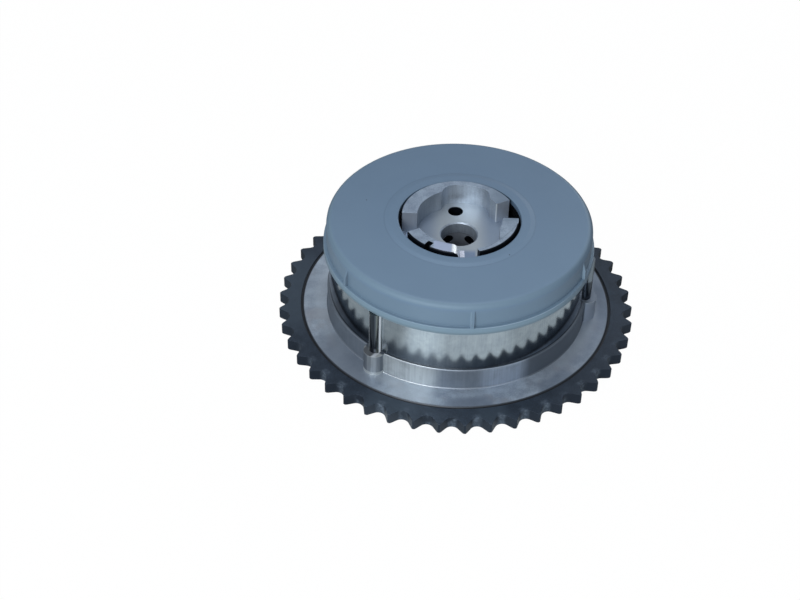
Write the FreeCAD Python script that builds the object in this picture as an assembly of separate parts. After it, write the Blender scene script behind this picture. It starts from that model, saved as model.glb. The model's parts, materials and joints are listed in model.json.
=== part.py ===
import FreeCAD, Part
import math
import os
from FreeCAD import Vector

# A vane-type camshaft phaser. Millimetres, +Z along the axis towards the spring cap, the origin at
# the centre of the rear face. Azimuths are degrees from +X, positive from +X towards +Y.

# Chain sprocket
teeth = 46
tip_dia = 121.0
root_dia = 114.4
seat_radius = 2.45         # of the roller seats
seat_arc = 100.0           # degrees of a roller seat's arc
tooth_azimuth = 6.13       # of one tooth's middle
tooth_bevel_height = 0.2
tooth_bevel_reach = 0.5
sprocket_thickness = 4.0
flange_dia = 105.0         # the turned face inside the toothed ring
flange_bevel = 0.4
groove_width = 0.6
groove_depth = 0.5
base_height = 12.0         # rear face to the chambers' floor
collar_foot = 0.35         # bevel between the flange and the collar
edge_break = 0.3

# Stator housing
barrel_dia = 86.4
barrel_height = 16.6
collar_ledge = 0.7         # the sprocket's collar stands out this far past the barrel
chamber_dia = 73.0
rib_count = 3
rib_azimuth = -127.7
rib_dia = 4.4
rib_reach = 0.3            # rib's axis outside the barrel's surface
boss_dia = 7.3             # half-round bosses on the collar, one under each rib
boss_reach = 0.8           # boss's axis outside the barrel's surface

# Rotor
vane_count = 5
lock_vane_azimuth = 207.0
vane_angle = 15.0
lock_vane_angle = 26.0
travel_angle = 25.0
stop_gap_angle = 0.4       # lock vane to its chamber's end walls
free_gap_angle = 1.0       # plain vanes to theirs
rotor_core_dia = 42.0
journal_dia = 38.0
rotor_recess = 0.6         # rear face of the rotor inside the sprocket's rear face
rotor_bore_dia = 12.6
pilot_dia = 28.0           # seat for the camshaft's nose
pilot_depth = 4.5
port_dia = 3.2
port_drop = 2.2            # rotor's front face down to the oil ports' axis
port_to_flank = 1.5        # degrees from an oil port's axis to the flank it opens beside

# Running clearances
tip_gap = 0.15
side_gap = 0.06
journal_gap = 0.05
seal_gap = 0.05

# Strip seals and the leaf springs behind them
seal_width = 2.0
seal_depth = 3.0
leaf_thickness = 0.25
leaf_bow = 0.4

# Castellated hub
hub_dia = 38.7
hub_height = 11.9          # rotor's front face to the hub's rim
cup_dia = 28.2
cup_depth = 7.6
bolt_bore_dia = 12.0
bore_chamfer = 0.4
side_slots = ((-0.6, 29.0), (176.3, 207.4))
front_slot_from = -92.0
front_slot_to = -71.6
slot_roll = 2.2            # round on the wall's top where the spring's tang comes in
slot_corner = 1.4          # round on the same wall's inner corner
pocket_wall = 2.25         # hub wall left outside the rear pocket
pocket_from = 42.1
pocket_to = 116.4
pocket_corner = 4.5
pocket_lip = 1.5           # round between the pocket and the cup
relief_wall = 2.1          # hub wall left outside the relief by the front slot
relief_side = 12.9         # the relief ends at a flat side this far along X
step_depth = 0.3           # shallow step on the wall outside the relief
step_radius = 40.0
step_reach = 17.4          # hub's axis to the step's middle
step_azimuth = -43.2
notch_azimuth = -124.2
notch_width = 2.0
notch_reach = 2.5
notch_depth = 4.0
dowel_hole_dia = 5.1
dowel_hole_radius = 12.4
dowel_hole_azimuth = 94.6
hub_pin_dia = 3.0
hub_pin_length = 7.0
hub_pin_radius = 11.0
hub_pin_azimuths = (205.0, 335.0)

# Front plate, screws and dowels
plate_thickness = 4.0
plate_inset = 0.6          # plate's rim inside the barrel's surface
screw_dia = 5.0
screw_head_dia = 8.8
screw_head_height = 3.4
screw_socket_dia = 4.0
screw_socket_depth = 2.0
screw_clearance = 0.25
thread_gap = 0.02
screw_circle_radius = 33.5
screw_end_gap = 1.0        # screw's end inside the sprocket's rear face
dowel_dia = 3.0
dowel_length = 10.0

# Lock pin
lock_radius = 27.4
pin_dia = 8.0
pin_length = 13.5
pin_nose_dia = 7.2
pin_nose_length = 3.2
pin_wall = 1.5
pin_gap = 0.04
pin_face_gap = 0.1         # retracted nose to the chambers' floor
bush_wall = 1.9
bush_depth = 4.5
bush_clearance = 0.25
plug_thickness = 1.8
plug_rim = 0.8             # plug's radius over the pin bore's
vent_dia = 2.0
coil_wire = 0.7            # square wire
coil_turns = 5.0
coil_gap = 0.25            # coil to the pin's wall

# Spring cap
cap_wall = 1.4
cap_height = 11.1          # lip's edge to the cap's face
cap_lap = 0.4              # the lip reaches this far down past the barrel's top
cap_face_thickness = 1.5
cap_rim_radius = 2.0
cap_hole_gap = 0.85
cap_ring_width = 4.7
cap_ring_rise = 0.3
lip_reach = 1.0
lip_height = 2.7
lip_clearance = 0.1
cap_rib_count = 6
cap_rib_azimuth = -25.3
cap_rib_width = 1.3
cap_rib_height = 5.8

# Flat spiral bias spring and its post
strip_thickness = 1.6
strip_height = 4.4
strip_lift = 0.4           # spring above the front plate
spring_turns = 3
spring_arc = 60.0          # degrees of each arc that the coils are made of
spring_bend = 1.6          # middle radius of the end bends
spring_hub_gap = 0.6
spring_screw_gap = 0.35
tang_azimuth = -88.1
tang_reach = 5.0           # tang's end inside the hub's outside
tab_length = 4.2
post_dia = 4.0
post_height = 4.6
post_depth = 2.8
post_gap = 0.1

# Heights and radii that follow
barrel_radius = barrel_dia / 2
chamber_radius = chamber_dia / 2
barrel_top = base_height + barrel_height
plate_top = barrel_top + plate_thickness
plate_radius = barrel_radius - plate_inset
collar_radius = barrel_radius + collar_ledge
rotor_low = base_height + side_gap
rotor_high = barrel_top - side_gap
core_radius = rotor_core_dia / 2
vane_radius = chamber_radius - tip_gap
hub_radius = hub_dia / 2
hub_top = rotor_high + hub_height
cup_floor = hub_top - cup_depth
pitch_angle = 360.0 / vane_count
rib_angle = 360.0 / rib_count
cap_rib_angle = 360.0 / cap_rib_count
tooth_angle = 360.0 / teeth
lip_low = barrel_top - cap_lap
cap_face = lip_low + cap_height
cap_radius = plate_radius + cap_wall
lip_radius = cap_radius + lip_reach
cap_hole_radius = hub_radius + cap_hole_gap
bush_radius = pin_dia / 2 + bush_clearance + bush_wall
pin_bore_radius = pin_dia / 2 + pin_gap
plug_low = rotor_high - plug_thickness


def polar(radius, azimuth, z=0.0):
    a = math.radians(azimuth)
    return Vector(radius * math.cos(a), radius * math.sin(a), z)


def disc(radius, low, high, centre=Vector(0, 0, 0)):
    return Part.makeCylinder(radius, high - low, Vector(centre.x, centre.y, low))


def ring(outer, inner, low, high, centre=Vector(0, 0, 0)):
    return disc(outer, low, high, centre).cut(disc(inner, low - 1, high + 1, centre))


def turned(profile):
    """Solid of revolution about Z from (radius, height) corners."""
    points = [Vector(r, 0, z) for r, z in profile]
    face = Part.Face(Part.makePolygon(points + points[:1]))
    return face.revolve(Vector(0, 0, 0), Vector(0, 0, 1), 360)


def sector(inner, outer, start, end, low, high):
    """Piece of a ring between two azimuths."""
    middle = (start + end) / 2
    outside = Part.Arc(polar(outer, start, low), polar(outer, middle, low), polar(outer, end, low))
    inside = Part.Arc(polar(inner, end, low), polar(inner, middle, low), polar(inner, start, low))
    sides = [Part.LineSegment(outside.EndPoint, inside.StartPoint),
             Part.LineSegment(inside.EndPoint, outside.StartPoint)]
    edges = [outside.toShape(), sides[0].toShape(), inside.toShape(), sides[1].toShape()]
    return Part.Face(Part.Wire(edges)).extrude(Vector(0, 0, high - low))


def radial_box(inner, outer, width, azimuth, low, high):
    """Box that runs out along an azimuth, its width centred on it."""
    box = Part.makeBox(outer - inner, width, high - low, Vector(inner, -width / 2, low))
    box.rotate(Vector(0, 0, 0), Vector(0, 0, 1), azimuth)
    return box


def rounded_verticals(solid, radius, test):
    """Fillet the vertical edges whose radius and azimuth pass the test."""
    chosen = []
    for edge in solid.Edges:
        ends = [v.Point for v in edge.Vertexes]
        if len(ends) < 2 or math.hypot(ends[0].x - ends[1].x, ends[0].y - ends[1].y) > 1e-6:
            continue
        azimuth = math.degrees(math.atan2(ends[0].y, ends[0].x))
        if test(math.hypot(ends[0].x, ends[0].y), azimuth):
            chosen.append(edge)
    return solid.makeFillet(radius, chosen)


def rib_places(reach):
    return [polar(barrel_radius + reach, rib_azimuth + rib_angle * k) for k in range(rib_count)]


def vane_middles():
    return [lock_vane_azimuth + pitch_angle * k for k in range(vane_count)]


def vane_half(k):
    return (lock_vane_angle if k == 0 else vane_angle) / 2


def chamber_ends(k):
    """Azimuths between which chamber k is open. The rotor rests at the first."""
    gap = stop_gap_angle if k == 0 else free_gap_angle
    middle = vane_middles()[k]
    return middle - vane_half(k) - gap, middle + vane_half(k) + travel_angle + gap


def web_middles():
    middles = []
    for k in range(vane_count):
        following = (k + 1) % vane_count
        turn = pitch_angle * vane_count if following == 0 else 0.0
        middles.append((chamber_ends(k)[1] + chamber_ends(following)[0] + turn) / 2)
    return middles


def screw_places():
    return [polar(screw_circle_radius, a) for a in web_middles()]


def dowel_places():
    wall_middle = (chamber_radius + barrel_radius) / 2
    return [polar(wall_middle, web_middles()[k]) for k in (1, 3)]


def lock_place():
    return polar(lock_radius, lock_vane_azimuth)


def tooth_face():
    """Toothed outline: round roller seats, straight flanks and narrow tip lands."""
    seat_centre = root_dia / 2 + seat_radius
    tip_radius = tip_dia / 2
    lean = math.radians(90 - seat_arc / 2)
    seat_end = Vector(seat_centre - seat_radius * math.sin(lean), seat_radius * math.cos(lean))
    flank = Vector(math.cos(lean), math.sin(lean))
    along = seat_end.dot(flank)
    reach = -along + math.sqrt(along ** 2 - seat_end.dot(seat_end) + tip_radius ** 2)
    tip_corner = seat_end + flank * reach
    seat_bottom = Vector(root_dia / 2, 0)

    def at(point, azimuth):
        return FreeCAD.Rotation(Vector(0, 0, 1), azimuth).multVec(point)

    def mirrored(point):
        return Vector(point.x, -point.y)

    edges = []
    for k in range(teeth):
        gap = tooth_azimuth + tooth_angle * (k + 0.5)
        near_tip, near_seat = at(mirrored(tip_corner), gap), at(mirrored(seat_end), gap)
        far_seat, far_tip = at(seat_end, gap), at(tip_corner, gap)
        next_tip = at(mirrored(tip_corner), gap + tooth_angle)
        land_middle = polar(tip_radius, gap + tooth_angle / 2)
        edges.append(Part.LineSegment(near_tip, near_seat).toShape())
        edges.append(Part.Arc(near_seat, at(seat_bottom, gap), far_seat).toShape())
        edges.append(Part.LineSegment(far_seat, far_tip).toShape())
        edges.append(Part.Arc(far_tip, land_middle, next_tip).toShape())
    return Part.Face(Part.Wire(edges))


def toothed_ring():
    plate = tooth_face().extrude(Vector(0, 0, sprocket_thickness))
    tip, low_reach = tip_dia / 2, tip_dia / 2 - tooth_bevel_reach
    bevel = tooth_bevel_height
    blank = turned([(0, 0), (low_reach, 0), (tip, bevel), (tip, sprocket_thickness - bevel),
                    (low_reach, sprocket_thickness), (0, sprocket_thickness)])
    return plate.common(blank)


def chain_sprocket():
    flange, face = flange_dia / 2, sprocket_thickness
    body = toothed_ring()
    groove = turned([(flange - flange_bevel, face), (flange, face - flange_bevel),
                     (flange, face - groove_depth), (flange + groove_width, face - groove_depth),
                     (flange + groove_width, face + 1), (flange - flange_bevel, face + 1)])
    collar = turned([(0, 0), (collar_radius + collar_foot, 0), (collar_radius + collar_foot, face),
                     (collar_radius, face + collar_foot), (collar_radius, base_height - edge_break),
                     (collar_radius - edge_break, base_height), (0, base_height)])
    body = body.cut(groove).fuse(collar)
    for place in rib_places(boss_reach):
        body = body.fuse(disc(boss_dia / 2, 0, base_height, place))
    bore = journal_dia / 2 + journal_gap
    body = body.cut(turned([(0, -1), (bore + 1 + edge_break, -1), (bore, edge_break),
                            (bore, base_height + 1), (0, base_height + 1)]))
    for place in screw_places():
        body = body.cut(disc(screw_dia / 2 + thread_gap, -1, base_height + 1, place))
    for place in dowel_places():
        body = body.cut(disc(dowel_dia / 2, base_height - dowel_length / 2, base_height + 1, place))
    body = body.cut(disc(bush_radius, base_height - bush_depth, base_height + 1, lock_place()))
    return body.removeSplitter()


def stator_housing():
    body = disc(barrel_radius, base_height, barrel_top)
    for place in rib_places(rib_reach):
        body = body.fuse(disc(rib_dia / 2, base_height, lip_low, place))
    body = body.cut(disc(core_radius + tip_gap, base_height - 1, barrel_top + 1))
    for k in range(vane_count):
        start, end = chamber_ends(k)
        body = body.cut(sector(core_radius - 1, chamber_radius, start, end,
                               base_height - 1, barrel_top + 1))
    groove_end = core_radius + tip_gap + seal_depth + leaf_bow + leaf_thickness
    for azimuth in web_middles():
        body = body.cut(radial_box(core_radius - 1, groove_end, seal_width + 2 * seal_gap, azimuth,
                                   base_height - 1, barrel_top + 1))
    for place in screw_places():
        body = body.cut(disc(screw_dia / 2 + screw_clearance, base_height - 1, barrel_top + 1, place))
    for place in dowel_places():
        body = body.cut(disc(dowel_dia / 2, base_height - 1, base_height + dowel_length / 2, place))
    return body.removeSplitter()


def front_plate():
    body = turned([(0, barrel_top), (plate_radius, barrel_top), (plate_radius, plate_top - edge_break),
                   (plate_radius - edge_break, plate_top), (0, plate_top)])
    body = body.cut(disc(hub_radius + journal_gap, barrel_top - 1, plate_top + 1))
    for place in screw_places():
        body = body.cut(disc(screw_dia / 2 + screw_clearance, barrel_top - 1, plate_top + 1, place))
    return body.cut(disc(post_dia / 2, plate_top - post_depth, plate_top + 1, post_place()))


def housing_screws():
    """Five screws from the front plate through the webs into the sprocket."""
    screws = []
    for place in screw_places():
        shank = disc(screw_dia / 2, screw_end_gap, plate_top, place)
        head = disc(screw_head_dia / 2, plate_top, plate_top + screw_head_height, place)
        head = head.makeChamfer(edge_break, [head.Edges[0]])
        socket = disc(screw_socket_dia / 2, plate_top + screw_head_height - screw_socket_depth,
                      plate_top + screw_head_height + 1, place)
        screws.append(shank.fuse(head).cut(socket))
    return Part.makeCompound(screws)


def stator_dowels():
    low, high = base_height - dowel_length / 2, base_height + dowel_length / 2
    return Part.makeCompound([disc(dowel_dia / 2, low, high, p) for p in dowel_places()])


def seal_strip(radius_out, radius_in, azimuth):
    return radial_box(radius_in, radius_out, seal_width, azimuth, rotor_low + seal_gap,
                      rotor_high - seal_gap)


def leaf_spring(seat_radius, azimuth, outward):
    """Bowed strip between a seal and the floor of its groove. outward is 1 or -1."""
    low, high = rotor_low + 1.0, rotor_high - 1.0
    middle = (low + high) / 2
    sign = outward
    crest = seat_radius + sign * leaf_bow
    thick = sign * leaf_thickness
    near = Part.Arc(Vector(seat_radius, 0, low), Vector(crest, 0, middle), Vector(seat_radius, 0, high))
    far = Part.Arc(Vector(seat_radius + thick, 0, high), Vector(crest + thick, 0, middle),
                   Vector(seat_radius + thick, 0, low))
    edges = [near.toShape(), Part.LineSegment(near.EndPoint, far.StartPoint).toShape(),
             far.toShape(), Part.LineSegment(far.EndPoint, near.StartPoint).toShape()]
    width = seal_width - 2 * seal_gap
    strip = Part.Face(Part.Wire(edges)).extrude(Vector(0, width, 0))
    strip.translate(Vector(0, -width / 2, 0))
    strip.rotate(Vector(0, 0, 0), Vector(0, 0, 1), azimuth)
    return strip


def vane_groove_floor():
    return vane_radius - seal_depth - leaf_bow - leaf_thickness


def vane_seal(k):
    return seal_strip(chamber_radius - seal_gap, chamber_radius - seal_gap - seal_depth,
                      vane_middles()[k])


def vane_seal_spring(k):
    return leaf_spring(vane_groove_floor(), vane_middles()[k], 1)


def web_seal(k):
    inner = core_radius + seal_gap
    return seal_strip(inner + seal_depth, inner, web_middles()[k])


def web_seal_spring(k):
    floor = core_radius + tip_gap + seal_depth + leaf_bow + leaf_thickness
    return leaf_spring(floor, web_middles()[k], -1)


def rotor():
    rear = rotor_recess
    body = disc(core_radius, rotor_low, rotor_high).fuse(
        turned([(0, rear), (journal_dia / 2 - edge_break, rear), (journal_dia / 2, rear + edge_break),
                (journal_dia / 2, rotor_low), (0, rotor_low)]))
    for k, middle in enumerate(vane_middles()):
        vane = sector(core_radius - 1, vane_radius, middle - vane_half(k), middle + vane_half(k),
                      rotor_low, rotor_high)
        body = body.fuse(vane)
    body = body.cut(disc(rotor_bore_dia / 2, rear - 1, rotor_high + 1))
    body = body.cut(disc(pilot_dia / 2, rear - 1, rear + pilot_depth))
    port_z = rotor_high - port_drop
    for k, middle in enumerate(vane_middles()):
        groove = radial_box(vane_groove_floor(), vane_radius + 1, seal_width + 2 * seal_gap, middle,
                            rotor_low - 1, rotor_high + 1)
        port = Part.makeCylinder(port_dia / 2, core_radius + 1, Vector(0, 0, port_z),
                                 polar(1, middle - vane_half(k) - port_to_flank))
        body = body.cut(groove).cut(port)
    dowel_hole = polar(dowel_hole_radius, dowel_hole_azimuth)
    body = body.cut(disc(dowel_hole_dia / 2, rear - 1, rotor_high + 1, dowel_hole))
    for azimuth in hub_pin_azimuths:
        place = polar(hub_pin_radius, azimuth)
        body = body.cut(disc(hub_pin_dia / 2, rotor_high - hub_pin_length / 2, rotor_high + 1, place))
    body = body.cut(disc(pin_bore_radius, rotor_low - 1, rotor_high + 1, lock_place()))
    body = body.cut(disc(pin_bore_radius + plug_rim, plug_low, rotor_high + 1, lock_place()))
    return body.removeSplitter()


def rotor_hub():
    """Castellated cup that the central bolt clamps to the rotor."""
    cup = cup_dia / 2
    body = turned([(0, rotor_high), (hub_radius, rotor_high), (hub_radius, hub_top - edge_break),
                   (hub_radius - edge_break, hub_top), (0, hub_top)])
    body = body.cut(disc(cup, cup_floor, hub_top + 1))
    body = body.cut(hub_pocket())
    body = rounded_verticals(body, pocket_lip, lambda r, a: abs(r - cup) < 0.01)
    for start, end in side_slots + ((front_slot_from, front_slot_to),):
        body = body.cut(sector(cup / 2, hub_radius + 1, start, end, cup_floor, hub_top + 1))
    body = body.makeFillet(slot_roll, [e for e in body.Edges if is_rolled(e)])
    body = rounded_verticals(body, slot_corner, lambda r, a: abs(r - cup) < 0.01 and is_first_side(a))
    body = body.cut(hub_relief()).cut(hub_step())
    body = body.cut(radial_box(hub_radius - notch_reach, hub_radius + 1, notch_width, notch_azimuth,
                               hub_top - notch_depth, hub_top + 1))
    bore = bolt_bore_dia / 2
    body = body.cut(turned([(0, rotor_high - 1), (bore, rotor_high - 1), (bore, cup_floor - bore_chamfer),
                            (bore + bore_chamfer, cup_floor), (bore + bore_chamfer, cup_floor + 1),
                            (0, cup_floor + 1)]))
    body = body.cut(disc(dowel_hole_dia / 2, rotor_high - 1, hub_top,
                         polar(dowel_hole_radius, dowel_hole_azimuth)))
    for azimuth in hub_pin_azimuths:
        place = polar(hub_pin_radius, azimuth)
        body = body.cut(disc(hub_pin_dia / 2, rotor_high - 1, rotor_high + hub_pin_length / 2, place))
    return body


def hub_pocket():
    pocket = sector(cup_dia / 4, hub_radius - pocket_wall, pocket_from, pocket_to,
                    cup_floor, hub_top + 1)
    return rounded_verticals(pocket, pocket_corner, lambda r, a: r > cup_dia / 2)


def hub_relief():
    """Room beside the front slot: round outside, with a flat side towards +X."""
    room = sector(cup_dia / 4, hub_radius - relief_wall, front_slot_from, 0, cup_floor, hub_top + 1)
    side = Part.makeBox(relief_side + hub_radius, hub_dia, hub_top, Vector(-hub_radius, -hub_radius, 1))
    return room.common(side)


def hub_step():
    low = hub_top - step_depth
    wall = sector(cup_dia / 4, hub_radius + 1, front_slot_to - 1, side_slots[0][0] + 1, low, hub_top + 1)
    return wall.common(disc(step_radius, low, hub_top + 1, polar(step_reach - step_radius, step_azimuth)))


def is_first_side(azimuth):
    return abs(azimuth - front_slot_from) < 0.01


def is_rolled(edge):
    """The wall's top edge at the front slot's first side."""
    ends = [v.Point for v in edge.Vertexes]
    if any(abs(p.z - hub_top) > 1e-6 for p in ends):
        return False
    return all(is_first_side(math.degrees(math.atan2(p.y, p.x))) for p in ends)


def hub_pins():
    low, high = rotor_high - hub_pin_length / 2, rotor_high + hub_pin_length / 2
    return Part.makeCompound([disc(hub_pin_dia / 2, low, high, polar(hub_pin_radius, a))
                              for a in hub_pin_azimuths])


def lock_pin():
    low = base_height + pin_face_gap
    high = low + pin_length
    radius, nose, lead = pin_dia / 2, pin_nose_dia / 2, 0.5
    pin = turned([(0, low), (nose - lead, low), (nose, low + lead), (nose, low + pin_nose_length),
                  (radius, low + pin_nose_length + radius - nose), (radius, high),
                  (radius - pin_wall, high), (radius - pin_wall, low + pin_nose_length),
                  (0, low + pin_nose_length)])
    pin.translate(lock_place())
    return pin


def lock_pin_spring():
    floor = base_height + pin_face_gap + pin_nose_length
    mean = pin_dia / 2 - pin_wall - coil_gap - coil_wire / 2
    height = plug_low - floor - coil_wire - 2 * coil_gap
    helix = Part.makeHelix(height / coil_turns, height, mean)
    half = coil_wire / 2
    corners = [Vector(mean + x, 0, z) for x, z in ((half, half), (-half, half), (-half, -half), (half, -half))]
    section = Part.makePolygon(corners + corners[:1])
    coil = Part.Wire(helix).makePipeShell([section], True, True)
    coil.translate(lock_place() + Vector(0, 0, floor + coil_wire / 2 + coil_gap))
    return coil


def lock_pin_plug():
    place = lock_place()
    return ring(pin_bore_radius + plug_rim, vent_dia / 2, plug_low, rotor_high, place)


def lock_bush():
    return ring(bush_radius, pin_dia / 2 + bush_clearance, base_height - bush_depth, base_height,
                lock_place())


def spring_radii():
    """Middle radii of the strip's first and last turns."""
    first = hub_radius + spring_hub_gap + strip_thickness / 2
    last = screw_circle_radius - screw_head_dia / 2 - spring_screw_gap - strip_thickness / 2
    return first, last


def spring_sweep():
    """Start and end azimuths of the coils, which run outwards clockwise. The end is between screws."""
    first = spring_radii()[0]
    start = tang_azimuth - math.degrees(spring_bend / first)
    between = (web_middles()[1] + web_middles()[2]) / 2
    turn_to_end = (start - between) % 360.0
    return start, start - 360.0 * spring_turns - turn_to_end


def elbow(azimuth, radius, outward):
    """Quarter bend from a radial leg to the strip's clockwise or counter-clockwise run."""
    bend = spring_bend
    outer, inner = bend + strip_thickness / 2, bend - strip_thickness / 2
    piece = sector(inner, outer, 0, 90, 0, strip_height)
    if outward:
        piece.rotate(Vector(0, 0, 0), Vector(0, 0, 1), 180)
        piece.translate(Vector(radius + bend, bend, 0))
    else:
        piece.translate(Vector(radius - bend, -bend, 0))
    piece.rotate(Vector(0, 0, 0), Vector(0, 0, 1), azimuth)
    return piece


def spring_arcs():
    """The coils as arcs that meet in line, each wider than the last: centre, radius and two azimuths."""
    first, last = spring_radii()
    start, end = spring_sweep()
    count = int(round(abs(end - start) / spring_arc))
    turn = (end - start) / count
    growth = (last - first) / (count - 1)
    centre = Vector(0, 0, 0)
    arcs = []
    for k in range(count):
        arcs.append((centre, first + growth * k, start + turn * k, start + turn * (k + 1)))
        centre = centre - polar(growth, start + turn * (k + 1))
    return arcs


def outer_tab():
    """Where the outer tab stands: the last arc's centre, its radius and the tab's azimuth."""
    centre, radius, begin, end = spring_arcs()[-1]
    return centre, radius, end - math.degrees(spring_bend / radius)


def bias_spring():
    """Flat spiral spring: inner tang in the hub's front slot, outer tab against the post."""
    first = spring_radii()[0]
    half = strip_thickness / 2
    band = []
    for centre, radius, begin, end in spring_arcs():
        coil = sector(radius - half, radius + half, end, begin, 0, strip_height)
        coil.translate(centre)
        band.append(coil)
    tang = radial_box(hub_radius - tang_reach, first - spring_bend, strip_thickness, tang_azimuth,
                      0, strip_height)
    centre, last, tab_azimuth = outer_tab()
    tab = radial_box(last + spring_bend, last + spring_bend + tab_length, strip_thickness, tab_azimuth,
                     0, strip_height).fuse(elbow(tab_azimuth, last, True))
    tab.translate(centre)
    spring = tang.fuse(band + [elbow(tang_azimuth, first, False), tab]).removeSplitter()
    spring.translate(Vector(0, 0, plate_top + strip_lift))
    return spring


def post_place():
    centre, last, tab_azimuth = outer_tab()
    radius = last + spring_bend + tab_length / 2 + strip_thickness / 2
    beside = (strip_thickness + post_dia) / 2 + post_gap
    return centre + polar(radius, tab_azimuth) + polar(beside, tab_azimuth + 90)


def spring_post():
    return disc(post_dia / 2, plate_top - post_depth, plate_top + post_height, post_place())


def spring_cap():
    """Deep round cap: lip over the barrel's edge, rounded rim, raised ring about the hub's hole."""
    inner = plate_radius
    relief = barrel_radius + lip_clearance
    relief_top = barrel_top + cap_lap
    lip_top = lip_low + lip_height
    inside_face = cap_face - cap_face_thickness
    shell = turned([(relief, lip_low), (lip_radius, lip_low), (lip_radius, lip_top),
                    (cap_radius, lip_top), (cap_radius, cap_face), (cap_hole_radius, cap_face),
                    (cap_hole_radius, inside_face), (inner, inside_face), (inner, relief_top),
                    (relief, relief_top)])
    rim = [e for e in shell.Edges if is_circle_at(e, cap_radius, cap_face)]
    shell = shell.makeFillet(cap_rim_radius, rim)
    ring_radius = cap_hole_radius + cap_ring_width
    raised = turned([(cap_hole_radius, inside_face), (ring_radius - cap_ring_rise, inside_face),
                     (ring_radius, cap_face), (ring_radius - cap_ring_rise, cap_face + cap_ring_rise),
                     (cap_hole_radius, cap_face + cap_ring_rise)])
    shell = shell.fuse(raised)
    for k in range(cap_rib_count):
        rib = radial_box(cap_radius - cap_wall / 2, lip_radius, cap_rib_width,
                         cap_rib_azimuth + cap_rib_angle * k, lip_top - 0.5,
                         lip_top + cap_rib_height)
        shell = shell.fuse(rib)
    return shell.removeSplitter()


def is_circle_at(edge, radius, height):
    curve = edge.Curve
    if not isinstance(curve, Part.Circle):
        return False
    return abs(curve.Radius - radius) < 1e-6 and abs(curve.Center.z - height) < 1e-6


def pieces():
    made = {
        "chain_sprocket": chain_sprocket(),
        "stator_housing": stator_housing(),
        "front_plate": front_plate(),
        "housing_screws": housing_screws(),
        "stator_dowels": stator_dowels(),
        "rotor": rotor(),
        "rotor_hub": rotor_hub(),
        "hub_pins": hub_pins(),
        "lock_pin": lock_pin(),
        "lock_pin_spring": lock_pin_spring(),
        "lock_pin_plug": lock_pin_plug(),
        "lock_bush": lock_bush(),
        "bias_spring": bias_spring(),
        "spring_post": spring_post(),
        "spring_cap": spring_cap(),
    }
    for k in range(vane_count):
        made["vane_seal_%d" % (k + 1)] = vane_seal(k)
        made["vane_seal_spring_%d" % (k + 1)] = vane_seal_spring(k)
        made["web_seal_%d" % (k + 1)] = web_seal(k)
        made["web_seal_spring_%d" % (k + 1)] = web_seal_spring(k)
    return made


os.makedirs("parts", exist_ok=True)
for name, shape in pieces().items():
    shape.exportStep("parts/%s.step" % name)
    print("%-22s %9.1f mm3 %s" % (name, shape.Volume, shape.isValid()))
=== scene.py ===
import json
import math

import bmesh
import bpy
import numpy as np
from mathutils import Matrix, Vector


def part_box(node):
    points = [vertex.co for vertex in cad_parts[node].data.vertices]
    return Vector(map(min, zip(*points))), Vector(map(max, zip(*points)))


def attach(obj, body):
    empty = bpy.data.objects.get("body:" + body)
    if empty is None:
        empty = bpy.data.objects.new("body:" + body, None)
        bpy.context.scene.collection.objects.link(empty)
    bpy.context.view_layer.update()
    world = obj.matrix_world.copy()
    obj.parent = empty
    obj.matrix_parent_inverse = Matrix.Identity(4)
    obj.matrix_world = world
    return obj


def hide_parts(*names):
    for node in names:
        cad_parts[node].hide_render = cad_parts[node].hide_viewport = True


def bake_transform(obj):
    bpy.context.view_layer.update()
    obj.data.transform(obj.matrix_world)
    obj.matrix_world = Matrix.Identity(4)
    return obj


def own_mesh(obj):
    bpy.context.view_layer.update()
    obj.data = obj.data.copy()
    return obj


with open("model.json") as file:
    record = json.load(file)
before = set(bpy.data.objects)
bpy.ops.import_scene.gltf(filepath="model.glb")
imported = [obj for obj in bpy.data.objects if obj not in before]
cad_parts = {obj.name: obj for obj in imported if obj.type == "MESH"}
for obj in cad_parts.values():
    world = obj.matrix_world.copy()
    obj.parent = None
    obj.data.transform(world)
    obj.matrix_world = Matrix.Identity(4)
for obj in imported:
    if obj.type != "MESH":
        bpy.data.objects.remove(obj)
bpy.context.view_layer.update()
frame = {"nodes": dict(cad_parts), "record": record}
nodes = frame["nodes"]
slotOf = {s["node"]: s["material_slot"] for s in frame["record"]["subparts"]}
mm = 0.001


def boxOf(name):
    # lowest and highest corner of a node, in millimetres
    low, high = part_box(name)
    return np.array(low) / mm, np.array(high) / mm


capLow, capHigh = boxOf("spring_cap")
hubLow, hubHigh = boxOf("rotor_hub")
coilLow, coilHigh = boxOf("lock_pin_spring")
print("frame loaded:", len(nodes), "nodes")


# Meshes: lengths in millimetres, angles in degrees

outlineSteps = {"arc": 6, "support": 0.12, "supportShare": 0.3, "longest": 3.0}
edgeBreak = {"weld": 0.001, "flat": 0.2, "sharpOver": 28.0, "segments": 3, "sprocket": 0.12, "hub": 0.1,
             "spring": 0.12}


def closedGrid(rows, columns):
    # quads of a grid closed both ways, vertex index = row * columns + column
    row, column = np.meshgrid(np.arange(rows), np.arange(columns), indexing="ij")
    across, down = (column + 1) % columns, (row + 1) % rows
    quads = np.stack([row * columns + column, row * columns + across,
                      down * columns + across, down * columns + column], axis=-1)
    return quads.reshape(-1, 4)


def facedOut(points, quads):
    # turns every face round if the closed surface holds a negative volume
    a, b, c, d = (points[quads[:, k]] for k in range(4))
    volume = np.einsum("ij,ij->i", a, np.cross(b, c)) + np.einsum("ij,ij->i", a, np.cross(c, d))
    return quads if volume.sum() > 0 else quads[:, ::-1]


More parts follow.
